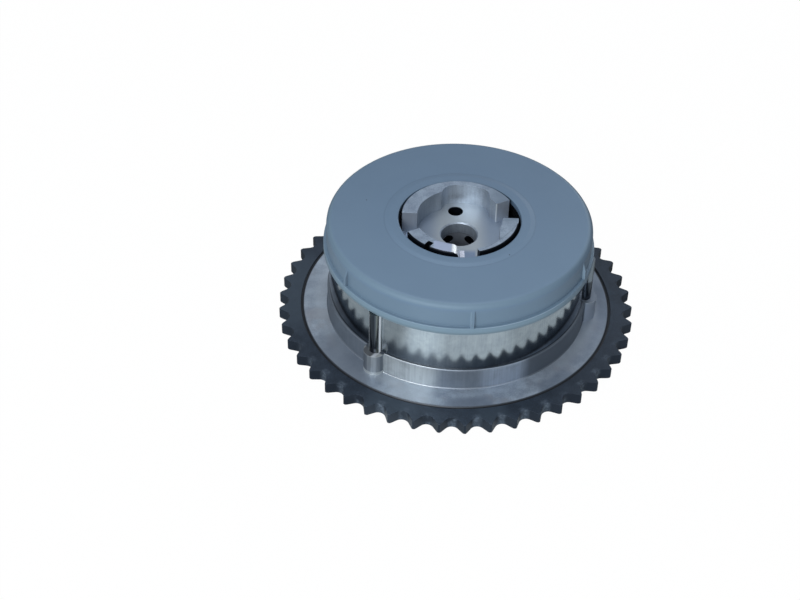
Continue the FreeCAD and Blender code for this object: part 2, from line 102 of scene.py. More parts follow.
def cornerArc(here, back, ahead, rounding):
    # arc that touches both sides of a corner: its centre lies on the bisector, rounding / sin(half) away
    back, ahead = back / np.hypot(*back), ahead / np.hypot(*ahead)
    half = math.acos(np.clip(back @ ahead, -1, 1)) / 2
    reach = rounding / math.tan(half)
    centre = here + (back + ahead) / np.hypot(*(back + ahead)) * rounding / math.sin(half)
    first, last = here + back * reach - centre, here + ahead * reach - centre
    start = math.atan2(first[1], first[0])
    sweep = (math.atan2(last[1], last[0]) - start + math.pi) % (2 * math.pi) - math.pi
    angle = start + sweep * np.linspace(0, 1, outlineSteps["arc"])
    return centre + rounding * np.stack([np.cos(angle), np.sin(angle)], axis=1)


def softOutline(corners):
    # closed outline through (across, up, rounding) corners: an arc at each, and between two arcs a side in
    # equal parts that starts and ends a little off the arcs
    s = outlineSteps
    table = np.array(corners, float)
    places = table[:, :2]
    back, ahead = np.roll(places, 1, axis=0) - places, np.roll(places, -1, axis=0) - places
    arcs = [cornerArc(*corner) for corner in zip(places, back, ahead, table[:, 2])]
    points = []
    for k, arc in enumerate(arcs):
        side = arcs[(k + 1) % len(arcs)][0] - arc[-1]
        length = np.hypot(*side)
        edge = min(s["support"] / length, s["supportShare"])
        count = max(2, int(length / s["longest"]) + 1)
        points += [arc, arc[-1] + side * np.linspace(edge, 1 - edge, count)[:, None]]
    return np.concatenate(points)


def turnedSurface(profile, azimuths, radiusAt):
    # profile turned about Z: rows are profile points, columns are azimuths in radians, and radiusAt moves
    # each point in or out
    across = np.repeat(profile[:, :1], len(azimuths), axis=1)
    up = np.repeat(profile[:, 1:], len(azimuths), axis=1)
    across = radiusAt(across, up, azimuths[None, :])
    return np.stack([across * np.cos(azimuths), across * np.sin(azimuths), up], axis=-1)


def smooth(share):
    # 0 to 1 with level ends: 3 s^2 - 2 s^3
    share = np.clip(share, 0, 1)
    return share * share * (3 - 2 * share)


def addPiece(name, mesh):
    # an object at the origin with smooth shading
    mesh.polygons.foreach_set("use_smooth", np.ones(len(mesh.polygons), bool))
    piece = bpy.data.objects.new(name, mesh)
    bpy.context.scene.collection.objects.link(piece)
    return piece


def gridPiece(name, points):
    # a closed piece from a grid of points in millimetres
    rows, columns = points.shape[:2]
    flat = points.reshape(-1, 3)
    mesh = bpy.data.meshes.new(name)
    mesh.from_pydata(flat * mm, [], facedOut(flat, closedGrid(rows, columns)).tolist())
    return addPiece(name, mesh)


def softEdged(node, width, segments=edgeBreak["segments"], sharpOver=edgeBreak["sharpOver"]):
    # a merged copy of a node with every edge sharper than sharpOver degrees broken by a small round
    mesh = bpy.data.meshes.new(node + "_soft")
    shape = bmesh.new()
    shape.from_mesh(nodes[node].data)
    bmesh.ops.remove_doubles(shape, verts=shape.verts, dist=edgeBreak["weld"] * mm)
    bmesh.ops.dissolve_limit(shape, angle_limit=math.radians(edgeBreak["flat"]), verts=shape.verts,
                             edges=shape.edges)
    shape.to_mesh(mesh)
    shape.free()
    if "custom_normal" in mesh.attributes:
        mesh.attributes.remove(mesh.attributes["custom_normal"])
    piece = addPiece(node + "_soft", mesh)
    bevel = piece.modifiers.new("edge break", "BEVEL")
    bevel.limit_method = "ANGLE"
    bevel.angle_limit = math.radians(sharpOver)
    bevel.width = width * mm
    bevel.segments = segments
    bevel.harden_normals = True
    bevel.miter_outer = "MITER_ARC"
    evened = piece.modifiers.new("even normals", "WEIGHTED_NORMAL")
    evened.keep_sharp = True
    return piece


def dress(piece, node, body=None):
    # gives a new piece the finish and slot of the node that it stands for, hides the node, and puts the piece
    # on a body when one is given
    piece.data.materials.clear()
    piece.data.materials.append(finishes[slotOf[node]])
    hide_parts(node)
    if body:
        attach(piece, body)


# Shader maths

class Flow:
    # a socket that answers to + - * / ** and to the Math node's other operations by name
    def __init__(self, tree, socket):
        self.tree, self.socket = tree, socket

    def math(self, operation, *others):
        return self.tree.node("ShaderNodeMath", {"operation": operation}, dict(enumerate((self, *others))))

    def __add__(self, other):
        return self.math("ADD", other)

    def __sub__(self, other):
        return self.math("SUBTRACT", other)

    def __rsub__(self, other):
        return self.tree.node("ShaderNodeMath", {"operation": "SUBTRACT"}, {0: other, 1: self})

    def __mul__(self, other):
        return self.math("MULTIPLY", other)

    def __truediv__(self, other):
        return self.math("DIVIDE", other)

    def __pow__(self, other):
        return self.math("POWER", other)

    __radd__, __rmul__ = __add__, __mul__


class Shading:
    # the node tree of a material or of the world
    def __init__(self, owner):
        owner.use_nodes = True
        self.nodes, self.links = owner.node_tree.nodes, owner.node_tree.links

    def node(self, kind, settings, sockets, output=0):
        # a node with its settings and the values or links of its sockets, as the flow from one output
        made = self.nodes.new(kind)
        for key, value in settings.items():
            setattr(made, key, value)
        for key, value in sockets.items():
            self.feed(made.inputs[key], value)
        return Flow(self, made.outputs[output])

    def feed(self, socket, value):
        if isinstance(value, Flow):
            self.links.new(value.socket, socket)
        else:
            socket.default_value = value


class Finish(Shading):
    # one material: the point on the piece in millimetres, the way its surface faces, and the shader
    def __init__(self, name):
        self.material = bpy.data.materials.new(name)
        super().__init__(self.material)
        self.shader = self.nodes["Principled BSDF"]
        place = self.node("ShaderNodeTexCoord", {}, {}, "Object")
        self.point = self.node("ShaderNodeVectorMath", {"operation": "SCALE"}, {0: place, "Scale": 1 / mm})
        self.x, self.y, self.z = self.parts(self.point)
        self.radius = ((self.x ** 2) + (self.y ** 2)) ** 0.5
        self.facing = self.parts(self.node("ShaderNodeNewGeometry", {}, {}, "Normal"))
        self.steep = self.facing[2].math("ABSOLUTE")
        self.flat = self.band(self.steep, 0.75, 0.9)
        self.wall = 1 - self.flat

    def parts(self, vector):
        split = self.node("ShaderNodeSeparateXYZ", {}, {0: vector})
        return [Flow(self, socket) for socket in split.socket.node.outputs]

    def band(self, value, low, high):
        # 0 below low, 1 above high, smooth between
        return self.node("ShaderNodeMapRange", {"interpolation_type": "SMOOTHSTEP"},
                         {0: value, "From Min": low, "From Max": high})

    def past(self, value, limit, soft):
        # 0 before a limit and 1 past it, with a soft edge to both sides
        return self.band(value, limit - soft, limit + soft)

    def between(self, value, low, high, soft):
        # 1 from low to high, with soft edges
        return self.past(value, low, soft) * (1 - self.past(value, high, soft))

    def noise(self, scale, detail=3.0, rough=0.55, place=None):
        return self.node("ShaderNodeTexNoise", {}, {"Vector": place or self.point, "Scale": scale,
                                                    "Detail": detail, "Roughness": rough})

    def stretched(self, across, up):
        # noise drawn out along the axis when up is small, and round about it when across is small
        place = self.node("ShaderNodeCombineXYZ", {}, {0: self.x * across, 1: self.y * across,
                                                       2: self.z * up})
        return self.noise(1.0, 3.0, 0.6, place)

    def rings(self, across, up, drift):
        # fine lines that run round the axis, on flat faces and on walls alike
        place = self.node("ShaderNodeCombineXYZ", {}, {0: self.radius * across, 1: self.z * up,
                                                       2: (self.x + self.y) * drift})
        return self.noise(1.0, 4.0, 0.7, place)

    def along(self, azimuth, pair=None):
        # distance along an azimuth, of the point or of another pair: x cos + y sin
        x, y = pair or (self.x, self.y)
        return x * math.cos(math.radians(azimuth)) + y * math.sin(math.radians(azimuth))

    def across(self, azimuth):
        # distance to the right of an azimuth's line, seen from the axis
        return self.along(azimuth - 90)

    def placedAt(self, azimuth, low, high):
        # 1 where the point lies at an azimuth, fading out; low and high are cosines of the angle off it
        return self.band(self.along(azimuth) / self.radius, low, high)

    def facingTo(self, azimuth, low, high):
        # 1 where the surface faces an azimuth, fading out by the cosine of the angle off it
        return self.band(self.along(azimuth, self.facing[:2]), low, high)

    def distance(self, x, y):
        # distance from an upright line
        return (((self.x - x) ** 2) + ((self.y - y) ** 2)) ** 0.5

    def speck(self, x, y, size):
        # 1 inside a small spot on a face that looks up
        return 1 - self.band(self.distance(x, y), size * 0.5, size)

    def mix(self, share, first, second):
        # colours are the mix node's sockets 6 and 7, its result is output 2
        return self.node("ShaderNodeMix", {"data_type": "RGBA"}, {0: share, 6: first, 7: second}, 2)

    def bump(self, height, distance):
        return self.node("ShaderNodeBump", {}, {"Height": height, "Distance": distance * mm})

    def set(self, **named):
        # values or links of the shader's own sockets, by their names with _ for a space
        for key, value in named.items():
            self.feed(self.shader.inputs[key.replace("_", " ")], value)
        return self.material


def rgb(red, green, blue):
    # colour from 0 to 255 screen values, made linear
    def linear(value):
        # the sRGB curve
        v = value / 255
        return v / 12.92 if v <= 0.04045 else ((v + 0.055) / 1.055) ** 2.4
    return linear(red), linear(green), linear(blue), 1.0


# Spring cap: lengths in millimetres, azimuths in degrees from X towards Y

springCap = {
    "wall": 1.4, "face": 1.5, "lipReach": 1.0, "lipHeight": 2.7, "hole": 20.2, "ringFlat": 3.0,
    "ringReach": 4.8, "ringRise": 0.3, "insideRadius": 43.2, "lap": 0.8, "lipFall": 0.15,
    "rounding": {"hole": 0.4, "holeFoot": 0.2, "ring": 2.0, "ringFoot": 0.6, "rim": 2.0, "lipTop": 0.1,
                 "lip": 0.3, "inside": 0.15, "lap": 0.1, "ceiling": 0.8},
    "ribs": 6, "ribAzimuth": -25.3, "ribWidth": 1.3, "ribEdge": 0.26, "ribTop": 36.7, "ribFade": 0.4,
    "ribFoot": 0.35, "ribDepth": 1.5, "ribStep": 0.03, "columns": 360, "ribColumns": 17,
    # painted light among these colours: light, lip, skirt and bend stand for lit shades and a sheen, shade and
    # hollow for shade, the two rib colours for lit and shaded flanks, and the lip's line colour for a
    # highlight
    "dark": rgb(91, 112, 134), "light": rgb(107, 130, 152), "lip": rgb(119, 142, 156),
    "skirt": rgb(105, 126, 143), "bend": rgb(106, 128, 143), "shade": rgb(68, 86, 104),
    "ribLit": rgb(140, 162, 178), "ribShade": rgb(60, 76, 92), "lipHighlight": rgb(196, 210, 226),
    "lipFoot": rgb(96, 112, 120), "hollow": rgb(16, 18, 22), "ringFootLine": rgb(70, 88, 106),
    "metallic": 0.1, "cloud": (0.05, 4.0), "grain": (1.6, 2.0), "grainDepth": 0.01,
    "frontFade": (-45.0, 45.0), "backFade": (-10.0, 30.0), "rightSide": (0.5, 1.0),
    "leftSide": (0.7, 1.0), "bendSide": (0.3, 0.9), "flank": (0.25, 0.7), "skirtTop": 37.4, "lipTop": 30.9,
    "bendFrom": (30.0, 32.0), "lipEdge": (44.1, 44.3), "lipSlope": (0.35, 0.85, 0.1),
    "lipLit": (-62.0, 0.9, 0.98), "lipFootRise": (0.5, 1.4), "ringFootRadius": 24.9, "ringFootWidth": 0.15,
    "ringFootSoft": 0.35, "specks": ((15.65, -18.42, 0.3), (-31.0, 9.0, 0.3))}


def capProfile():
    # section of the pressed cap, from the hole's edge over the raised ring, the rim and the lip, and back
    # along the inside
    s = springCap
    lip, low, top = capHigh[0], capLow[2], capHigh[2]
    face = top - s["ringRise"]
    skirt = lip - s["lipReach"]
    lipTop = low + s["lipHeight"]
    inside = skirt - s["wall"]
    ceiling = face - s["face"]
    ringFlat, ringEnd = s["hole"] + s["ringFlat"], s["hole"] + s["ringReach"]
    r = s["rounding"]
    return softOutline([
        (s["hole"], ceiling, r["holeFoot"]), (s["hole"], top, r["hole"]),
        (ringFlat, top, r["ring"]), (ringEnd, face, r["ringFoot"]),
        (skirt, face, r["rim"]), (skirt, lipTop + s["lipFall"], r["lipTop"]),
        (lip, lipTop, r["lip"]), (lip, low, r["lip"]),
        (s["insideRadius"], low, r["inside"]), (s["insideRadius"], low + s["lap"], r["lap"]),
        (inside, low + s["lap"], r["lap"]), (inside, ceiling, r["ceiling"])])


def capRibs(across, up, azimuth):
    # small upright ribs: the skirt moves out to the lip inside each rib's width
    s = springCap
    pitch = 2 * math.pi / s["ribs"]
    off = (azimuth - math.radians(s["ribAzimuth"]) + pitch / 2) % pitch - pitch / 2
    side = np.abs(off) * capHigh[0]
    half = s["ribWidth"] / 2
    share = smooth((half + s["ribEdge"] / 2 - side) / s["ribEdge"])
    share = share * smooth((s["ribTop"] + s["ribFade"] - up) / s["ribFade"])
    onSkirt = (across > capHigh[0] - s["lipReach"] - s["ribDepth"]) & (across < capHigh[0])
    onSkirt = onSkirt & (up > capLow[2] + s["lipHeight"] - s["ribFoot"])
    return across + np.where(onSkirt, share * np.maximum(capHigh[0] - s["ribStep"] - across, 0), 0)


def capAzimuths():
    # even columns, with close ones added across each rib
    s = springCap
    plain = np.linspace(0, 2 * math.pi, s["columns"], endpoint=False)
    half = s["ribWidth"] / 2 + s["ribEdge"]
    across = np.linspace(-half, half, s["ribColumns"]) / capHigh[0]
    centres = math.radians(s["ribAzimuth"]) + np.arange(s["ribs"]) * 2 * math.pi / s["ribs"]
    ribs = (centres[:, None] + across[None, :]).ravel() % (2 * math.pi)
    return np.unique(np.concatenate([plain, ribs]).round(6))


def capSteel():
    # dull blue steel with painted light: lighter to the front as if lit from there, the lip and the skirt in
    # painted lit shades, a painted sheen on the bend above it, painted light and shade on the ribs' flanks,
    # painted shade on the right, back and left walls, a painted highlight on the lip's top edge, and the
    # hollow inside painted dark as shade
    look = springCap
    finish = Finish("cap steel")
    x, y, z, radius, flat = finish.x, finish.y, finish.z, finish.radius, finish.flat
    side = x / radius
    face = capHigh[2] - look["ringRise"]
    cloud, grain = finish.noise(*look["cloud"]), finish.noise(*look["grain"])
    # painted light: lighter towards the front, where the light falls
    litFromFront = finish.band(y * -1, *look["frontFade"])
    colour = finish.mix(cloud * 0.3 + grain * 0.1 + litFromFront * 0.6, look["dark"], look["light"])
    # painted light: the lip and the skirt get lit shades of their own, and the bend a painted sheen
    onLip = 1 - finish.band(z, look["lipTop"] - 0.25, look["lipTop"] + 0.05)
    onSkirt = 1 - finish.band(z, look["skirtTop"] - 1.5, look["skirtTop"] + 1.0)
    bend = finish.between(z, look["skirtTop"] + 0.4, face - 0.1, 0.15) * finish.band(radius, *look["bendFrom"])
    colour = finish.mix(bend * 0.7, finish.mix(onSkirt * 0.8, colour, look["skirt"]), look["bend"])
    # painted shade on the walls to the right, the back and the left, and on the bend's right
    shade = finish.band(side, *look["rightSide"]) * 0.62 + finish.band(y, *look["backFade"]) * 0.4
    shade = (shade + finish.band(side * -1, *look["leftSide"]) * 0.2) * finish.wall
    shade = shade + bend * finish.band(side, *look["bendSide"]) * flat * 0.3
    colour = finish.mix(shade, finish.mix(onLip * 0.8, colour, look["lip"]), look["shade"])
    # painted light on one flank of each rib and painted shade on the other
    turned = (x * finish.facing[1] - y * finish.facing[0]) / radius * finish.wall
    colour = finish.mix(finish.band(turned * -1, *look["flank"]) * 0.6, colour, look["ribLit"])
    colour = finish.mix(finish.band(turned, *look["flank"]) * 0.6, colour, look["ribShade"])
    # painted highlight along the lip's top edge, strongest towards azimuth -62
    lipHighlight = finish.between(finish.facing[2], *look["lipSlope"]) * finish.band(radius, *look["lipEdge"])
    lipHighlight = lipHighlight * onLip * (0.15 + finish.placedAt(*look["lipLit"]) * 0.6)
    colour = finish.mix(lipHighlight, colour, look["lipHighlight"])
    low, high = look["lipFootRise"]
    lipFoot = (1 - finish.band(z, capLow[2] + low, capLow[2] + high)) * finish.wall
    colour = finish.mix(lipFoot * 0.5, colour, look["lipFoot"])
    # a darker line round the raised ring's foot, on the flat
    ringFootLine = finish.between(radius, look["ringFootRadius"], look["ringFootRadius"] + look["ringFootWidth"], look["ringFootSoft"])
    colour = finish.mix(ringFootLine * flat * 0.45, colour, look["ringFootLine"])
    for speck in look["specks"]:
        colour = finish.mix(finish.speck(*speck) * 0.7, colour, look["hollow"])
    # painted shade: the hollow inside the cap is dark
    ceiling = face - look["face"]
    hollow = finish.between(radius, 0, look["insideRadius"] - 0.2, 0.1)
    hollow = hollow * (1 - finish.band(z, ceiling - 0.1, ceiling + 0.3))
    colour = finish.mix(hollow, colour, look["hollow"])
    return finish.set(Base_Color=colour, Metallic=look["metallic"],
                      Roughness=0.36 + grain * 0.1 + cloud * 0.06 + bend * 0.12,
                      Normal=finish.bump(grain, look["grainDepth"]))


# Sprocket: a field is an azimuth and the two cosines off it between which it fades in, and in a list of
# fields then its share, and on the flange its zone and its colour

sprocketLook = {
    # painted light among these colours: the flange's lit, right, left and dull tones and fields, the ring's
    # sheen and wall tones, the collar's fields, edge and top and foot lines, the bosses' tones and glint, and
    # the ledge's tones; the fields are in part an oil film
    "flange": rgb(167, 179, 192), "flangeDark": rgb(134, 145, 159), "flangeLit": rgb(182, 191, 200),
    "flangeRight": rgb(107, 117, 132), "flangeLeft": rgb(118, 127, 140), "flangeDull": rgb(82, 94, 112),
    "stain": rgb(144, 146, 153), "rim": rgb(62, 67, 74), "groove": rgb(36, 39, 44),
    "ring": rgb(31, 41, 53), "ringLight": rgb(49, 60, 74), "ringSheen": rgb(64, 76, 88),
    "wall": rgb(22, 32, 46), "seat": rgb(104, 116, 130),
    "collar": rgb(196, 202, 204), "collarMid": rgb(134, 143, 154), "collarDark": rgb(100, 108, 118),
    "collarCool": rgb(172, 184, 200), "edge": rgb(118, 125, 135),
    "ledge": rgb(54, 61, 70), "ledgeSide": rgb(106, 114, 124),
    "boss": rgb(172, 179, 185), "bossRight": rgb(160, 170, 184), "bossTop": rgb(150, 154, 154),
    "bossDark": rgb(92, 95, 99), "bossGlint": rgb(190, 194, 200), "bossOuter": rgb(120, 130, 144),
    "mottle": (0.22, 5.0, 0.6), "grit": (2.2, 3.0), "streaks": (1.6, 0.05), "rings": (5.0, 5.0, 0.015),
    "stains": (0.1, 4.0), "wear": (0.2, 2.0), "wearGrit": (1.1, 4.0),
    "ringFrom": 52.5, "grooveTo": 53.1, "collarTo": 47.9, "collarWall": 43.9, "bossTopFrom": (44.1, 44.9),
    "ledgeFrom": (6.0, 7.0), "top": 12.0, "foot": 5.0, "toRight": (0.0, 20.0), "toMiddle": (-10.0, 0.0),
    "rightSide": (0.45, 1.0), "bothSides": (0.5, 0.9), "front": (0.2, 0.7), "rimBand": (0.7, 0.3),
    "gaps": 46, "gapAt": 2.217, "seatHalf": (0.06, 0.26), "seatFrom": 55.8, "seatTo": 58.6, "bumpDepth": 0.006,
    "outerFrom": (46.5, 49.5), "nearTo": (46.0, 50.0), "nearOff": (-100.0, 0.3, 0.9),
    "midField": (-111.0, 0.5, 0.95), "brightField": (-113.0, 0.955, 0.992),
    "coolField": (-70.0, 0.975, 0.998), "edgeField": (-111.0, 0.65, 0.9),
    "bossShine": (-100.0, 0.7, 0.98), "bossAt": -127.7, "glint": (-2.3, -1.2, 0.35), "dull": (-1.0, 3.1, 0.25),
    "flangeFields": ((-139.0, 0.93, 0.985, 0.8, "all", "flangeLeft"),
                     (-186.0, 0.975, 0.998, 0.35, "all", "flangeLeft"),
                     (-85.0, 0.985, 0.998, 0.8, "outer", "flangeRight"),
                     (-51.0, 0.985, 0.999, 0.5, "outer", "flangeDull"),
                     (1.0, 0.97, 0.995, 0.4, "outer", "flangeDull"),
                     (-107.0, 0.982, 0.999, 0.5, "all", "flangeLit"),
                     (-121.0, 0.985, 0.998, 0.5, "inner", "flangeLit")),
    "ringSheenFields": ((-183.0, 0.9, 0.985, 1.0), (-112.0, 0.98, 0.997, 1.0), (-79.0, 0.993, 0.999, 0.6),
                   (-88.0, 0.95, 0.99, 0.3)),
    "ringShadeField": (-33.0, 0.93, 0.99)}


def flangeColour(finish, mottle, grit):
    # turned steel with stains, painted shade on its right side, bright and dull fields that are painted light
    # and shade by azimuth and in part an oil film, a painted lighter run beside the collar, and a dark rim
    look, radius = sprocketLook, finish.radius
    colour = finish.mix(finish.band(mottle * 0.7 + grit * 0.3, 0.35, 0.65), look["flangeDark"], look["flange"])
    colour = finish.mix(finish.band(finish.noise(*look["stains"]), 0.5, 0.65) * 0.6, colour, look["stain"])
    # painted shade on the right side
    colour = finish.mix(finish.band(finish.x / radius, *look["rightSide"]) * 0.7, colour, look["flangeRight"])
    outer = finish.band(radius, *look["outerFrom"])
    zones = {"all": 1, "outer": outer, "inner": 1 - outer}
    # fields of painted light and shade by azimuth, in part an oil film
    for azimuth, low, high, share, zone, tone in look["flangeFields"]:
        field = finish.placedAt(azimuth, low, high) * zones[zone] * share
        colour = finish.mix(field, colour, look[tone])
    # painted light in a run beside the collar
    near = (1 - finish.band(radius, *look["nearTo"])) * (1 - finish.placedAt(*look["nearOff"]))
    colour = finish.mix(near * 0.35, colour, look["flangeLit"])
    first, last = look["rimBand"]
    onRim = finish.band(radius, look["ringFrom"] - first, look["ringFrom"] - last)
    return finish.mix(onRim, colour, look["rim"])


def seatWearAndSheen(finish):
    # share of lighter seats in the front tooth gaps, wear with a painted sheen that shows on the front teeth
    # only: off is how far the azimuth is from the nearest gap, in pitches
    look, radius = sprocketLook, finish.radius
    turn = finish.y.math("ARCTAN2", finish.x) * (look["gaps"] / (2 * math.pi))
    off = ((turn - look["gapAt"] * look["gaps"] / 360 + 0.5).math("FRACT") - 0.5).math("ABSOLUTE")
    wearAndSheen = (1 - finish.band(off, *look["seatHalf"])) * finish.band(finish.noise(*look["wear"]), 0.35, 0.55)
    wearAndSheen = wearAndSheen * finish.between(radius, look["seatFrom"], look["seatTo"], 0.6)
    wearAndSheen = wearAndSheen * finish.band(finish.y / radius * -1, *look["front"])
    return wearAndSheen * (0.45 + finish.band(finish.noise(*look["wearGrit"]), 0.42, 0.6) * 0.55)


def ringColour(finish, mottle, grit):
    # dark toothed ring with painted shade on its walls, a painted sheen in fields by azimuth that is in part
    # an oil film, a painted shade field at the right front, and seats with wear and a painted sheen
    look = sprocketLook
    colour = finish.mix(finish.band(mottle * 0.5 + grit * 0.5, 0.3, 0.7), look["ring"], look["ringLight"])
    sheen = 0
    for azimuth, low, high, share in look["ringSheenFields"]:
        sheen = finish.placedAt(azimuth, low, high) * share + sheen
    colour = finish.mix(sheen * 0.6, colour, look["ringSheen"])
    colour = finish.mix(finish.placedAt(*look["ringShadeField"]) * 0.25, colour, look["ring"])
    # painted shade on the teeth's upright walls
    colour = finish.mix(finish.wall * 0.7, colour, look["wall"])
    return finish.mix(seatWearAndSheen(finish) * (0.4 + finish.wall * 0.35), colour, look["seat"])


def bossColour(finish, streaks):
    # upright half-round of a boss: painted to shine where it faces the light and in another tone on the right,
    # with painted light lines at top and foot
    look = sprocketLook
    colour = finish.mix((1 - finish.facingTo(*look["bossShine"])) * 0.8, look["boss"], look["collarDark"])
    colour = finish.mix(finish.band(streaks, 0.4, 0.6) * 0.4, colour, look["collarDark"])
    colour = finish.mix(finish.band(finish.x, *look["toRight"]), colour, look["bossRight"])
    nearTop = finish.band(finish.z, look["top"] - 0.3, look["top"] - 0.2)
    nearFoot = 1 - finish.band(finish.z, look["foot"] + 0.1, look["foot"] + 0.3)
    lines = nearTop * 0.5 + nearFoot * (1 - finish.band(finish.x, *look["toMiddle"]))
    return finish.mix(lines * finish.wall, colour, look["collar"])


def collarColour(finish, mottle):
    # upright wall of the collar: painted light in mid, bright and cool fields by azimuth, fine streaks, the
    # bosses, and a painted highlight on its top edge
    look, radius = sprocketLook, finish.radius
    streaks = finish.stretched(*look["streaks"])
    colour = finish.mix(finish.placedAt(*look["midField"]), look["collarDark"], look["collarMid"])
    colour = finish.mix(finish.placedAt(*look["brightField"]), colour, look["collar"])
    colour = finish.mix(finish.placedAt(*look["coolField"]), colour, look["collarCool"])
    marks = finish.band(streaks, 0.35, 0.65) * 0.2 + finish.band(mottle, 0.45, 0.65) * 0.2
    colour = finish.mix(marks, colour, look["collarDark"])
    onBoss = finish.band(radius, look["collarWall"] + 0.3, look["collarWall"] + 0.6)
    colour = finish.mix(onBoss, colour, bossColour(finish, streaks))
    onEdge = finish.between(finish.steep, 0.3, 0.9, 0.06)
    onEdge = onEdge * finish.between(radius, look["collarWall"] - 0.16, look["collarWall"] + 0.18, 0.02)
    return finish.mix(onEdge * finish.placedAt(*look["edgeField"]), colour, look["edge"])


def ledgeColour(finish):
    # flat top of the collar in painted shade, lighter at the sides, and further out the tops of the bosses
    # with a painted glint, a dull stripe of painted reflection, and another tone on the right
    look = sprocketLook
    across = finish.across(look["bossAt"])
    boss = finish.mix(finish.between(across, *look["glint"]), look["bossTop"], look["bossGlint"])
    boss = finish.mix(finish.between(across, *look["dull"]), boss, look["bossDark"])
    boss = finish.mix(finish.band(finish.x, *look["toRight"]), boss, look["bossOuter"])
    atSide = finish.band(finish.x.math("ABSOLUTE") / finish.radius, *look["bothSides"])
    ledge = finish.mix(atSide, look["ledge"], look["ledgeSide"])
    return finish.mix(finish.band(finish.radius, *look["bossTopFrom"]), ledge, boss)


def sprocketSteel():
    # flange, collar, ledge and toothed ring, told apart by radius, height and slope, with a dark groove
    look = sprocketLook
    finish = Finish("sprocket steel")
    mottle, grit = finish.noise(*look["mottle"]), finish.noise(*look["grit"])
    onRing = finish.past(finish.radius, look["ringFrom"], 0.1)
    onCollar = finish.wall * (1 - finish.band(finish.radius, look["collarTo"], look["collarTo"] + 0.1))
    onLedge = finish.flat * finish.band(finish.z, *look["ledgeFrom"])
    onFlange = (1 - onRing) * (1 - onCollar) * (1 - onLedge)
    inGroove = finish.between(finish.radius, look["ringFrom"] - 0.2, look["grooveTo"] - 0.05, 0.15)
    colour = finish.mix(onCollar, flangeColour(finish, mottle, grit), collarColour(finish, mottle))
    colour = finish.mix(onLedge, colour, ledgeColour(finish))
    colour = finish.mix(onRing, colour, ringColour(finish, mottle, grit))
    colour = finish.mix(inGroove, colour, look["groove"])
    rough = onRing * (0.42 + grit * 0.16) + (1 - onRing) * (0.4 + mottle * 0.06 + onCollar * 0.03)
    height = finish.rings(*look["rings"]) * (1 - onRing) + grit * onRing
    metallic = 0.7 - onRing * 0.2 - onFlange * 0.2 - onLedge * 0.4
    return finish.set(Base_Color=colour, Metallic=metallic, Roughness=rough,
                      Normal=finish.bump(height, look["bumpDepth"]))


# Drum

drumLook = {
    # low, lowLeft and lowRight are a painted reflection of the dark ring below, and the rib colours are
    # painted light and shade
    "light": rgb(194, 201, 206), "dark": rgb(172, 180, 188), "low": rgb(76, 83, 92),
    "lowLeft": rgb(24, 30, 38), "lowRight": rgb(96, 105, 116), "rib": rgb(112, 116, 114),
    "ribDark": rgb(78, 84, 92), "ribRight": rgb(150, 158, 166), "ribLight": rgb(236, 240, 243),
    "cloud": (0.3, 0.3), "scratches": (3.0, 0.12), "scratchDepth": 0.0015, "roughness": 0.08,
    "lowTo": 17.0, "lowSoft": 2, "lowSides": (0.45, 0.8), "leftSide": (0.8, 1.0), "leftRise": 6,
    "leftDark": (0.9, 0.97), "rightSide": (0.7, 1.0), "rightRise": 4, "rightLow": (0.2, 0.5),
    "ribFrom": (43.3, 43.4), "ribShadowTo": 19.7, "toMiddle": (-10.0, 0.0),
    "litFacing": (-51.0, 0.966, 0.99), "edgeFacing": (-176.0, 0.96, 0.985),
    "darkFacing": (-115.0, 0.85, 0.95), "softField": (-114.0, 0.86, 0.99), "lean": 0.028}


def polishedSteel():
    # mirror-like barrel with fine upright scratches: to the sides its lower part is painted dark, a painted
    # reflection of the dark ring below, to a greater height further out, and a height that falls steadily with
    # z leans the whole finish
    look = drumLook
    finish = Finish("polished steel")
    cloud, scratches = finish.stretched(*look["cloud"]), finish.stretched(*look["scratches"])
    colour = finish.mix(finish.band(cloud * 0.6 + scratches * 0.4, 0.3, 0.7), look["dark"], look["light"])
    side = finish.x / finish.radius
    level = finish.z - finish.band(side * -1, *look["leftSide"]) * look["leftRise"]
    level = level - finish.band(side, *look["rightSide"]) * look["rightRise"]
    low = 1 - finish.past(level, look["lowTo"], look["lowSoft"])
    low = low * finish.band(side.math("ABSOLUTE"), *look["lowSides"])
    tone = finish.mix(finish.band(side, *look["rightLow"]), look["low"], look["lowRight"])
    colour = finish.mix(low, colour, tone)
    colour = finish.mix(low * finish.band(side * -1, *look["leftDark"]) * 0.6, colour, look["lowLeft"])
    # the ribs: on the left, painted highlights where they face azimuths -51 and -176 and painted shade where
    # they face -115; on the right, painted shadow below ribShadowTo and a lighter tone above
    onRib = finish.band(finish.radius, *look["ribFrom"])
    atLeft = 1 - finish.band(finish.x, *look["toMiddle"])
    lit = (finish.facingTo(*look["litFacing"]) + finish.facingTo(*look["edgeFacing"])) * atLeft
    high = finish.past(finish.z, look["ribShadowTo"], 0.5) * (1 - atLeft)
    rib = finish.mix(atLeft, look["ribDark"], look["rib"])
    rib = finish.mix(finish.facingTo(*look["darkFacing"]), rib, look["ribDark"])
    rib = finish.mix(lit, finish.mix(high, rib, look["ribRight"]), look["ribLight"])
    soft = finish.placedAt(*look["softField"]) * (1 - onRib)
    height = scratches * look["scratchDepth"] - finish.z * (1 - onRib) * look["lean"]
    return finish.set(Base_Color=finish.mix(onRib, colour, rib), Metallic=1 - onRib * lit * 0.6,
                      Roughness=look["roughness"] + scratches * 0.08 + onRib * 0.05 + soft * 0.06,
                      Normal=finish.bump(height, 1.0))


# Hub and rotor

